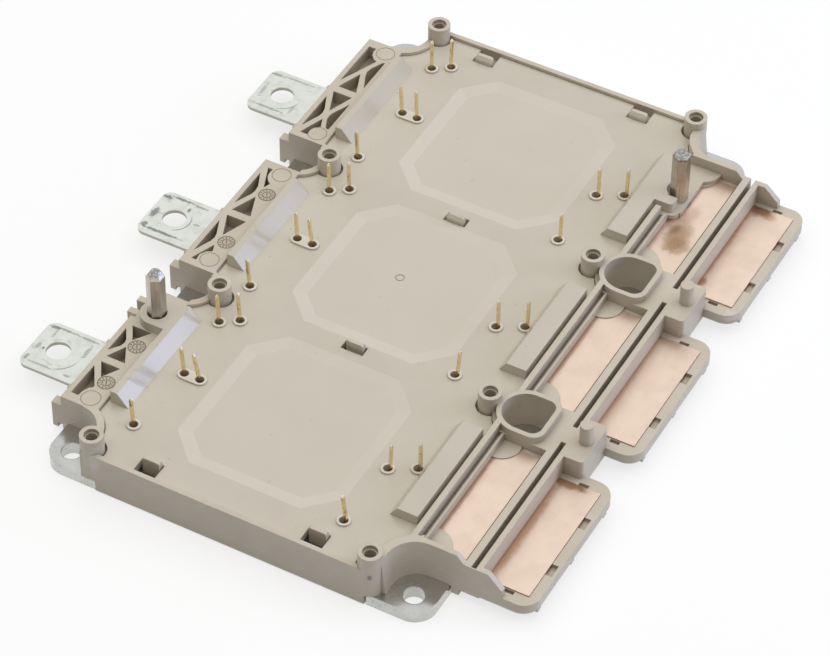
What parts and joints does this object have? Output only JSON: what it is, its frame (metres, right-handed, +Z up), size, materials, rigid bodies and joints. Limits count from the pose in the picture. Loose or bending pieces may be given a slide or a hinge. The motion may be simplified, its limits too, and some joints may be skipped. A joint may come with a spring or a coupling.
{
  "type": "silicon carbide power module",
  "caption": "Flat three-phase silicon carbide power module: bolt-down cooled baseplate, moulded frame and lid, tabs on one side, copper pads on the other, upright signal pins.",
  "frame": {"origin": "centre of the cooled underside of the baseplate", "axes": "+Z up out of the cooler, +X along the long side, -Y towards the three bolt tabs, +Y towards the copper pads"},
  "size_m": [0.1556, 0.1288, 0.0251],
  "materials": {
    "nickel_plated_base": "satin nickel plating over copper",
    "housing_plastic": "moulded, fine matte",
    "lid_plastic": "moulded, fine matte",
    "seal_adhesive": "cured silicone adhesive",
    "tin_plated_copper": "satin tin plating with rubbed marks",
    "bare_copper_pad": "pale bare copper with brown tarnish",
    "pin_gold": "thin pale gold plating",
    "dowel_steel": "drawn steel",
    "solder": "solder",
    "substrate_copper": "bare copper foil",
    "ceramic_plate": "matte ceramic",
    "chip": "silicon carbide chip, metallised top",
    "ribbon_aluminium": "bright aluminium ribbon",
    "sensor_ceramic": "small ceramic body",
    "silicone_gel": "clear soft silicone"
  },
  "bodies": {
    "root": {"baseplate": "nickel_plated_base", "housing_frame": "housing_plastic", "lid": "lid_plastic", "base_seal": "seal_adhesive", "locating_dowel_ac": "dowel_steel", "locating_dowel_dc": "dowel_steel", "ac_terminal_u": "tin_plated_copper", "dc_inner_terminal_u": "bare_copper_pad", "dc_outer_terminal_u": "bare_copper_pad", "ac_side_pins_u": "pin_gold", "dc_side_pins_u": "pin_gold", "base_solder_u": "solder", "lower_copper_u": "substrate_copper", "ceramic_u": "ceramic_plate", "track_copper_u": "substrate_copper", "chips_u": "chip", "bond_ribbons_u": "ribbon_aluminium", "temperature_sensor_u": "sensor_ceramic", "ac_terminal_v": "tin_plated_copper", "dc_inner_terminal_v": "bare_copper_pad", "dc_outer_terminal_v": "bare_copper_pad", "ac_side_pins_v": "pin_gold", "dc_side_pins_v": "pin_gold", "base_solder_v": "solder", "lower_copper_v": "substrate_copper", "ceramic_v": "ceramic_plate", "track_copper_v": "substrate_copper", "chips_v": "chip", "bond_ribbons_v": "ribbon_aluminium", "temperature_sensor_v": "sensor_ceramic", "ac_terminal_w": "tin_plated_copper", "dc_inner_terminal_w": "bare_copper_pad", "dc_outer_terminal_w": "bare_copper_pad", "ac_side_pins_w": "pin_gold", "dc_side_pins_w": "pin_gold", "base_solder_w": "solder", "lower_copper_w": "substrate_copper", "ceramic_w": "ceramic_plate", "track_copper_w": "substrate_copper", "chips_w": "chip", "bond_ribbons_w": "ribbon_aluminium", "temperature_sensor_w": "sensor_ceramic", "silicone_gel": "silicone_gel"}
  },
  "joints": []
}
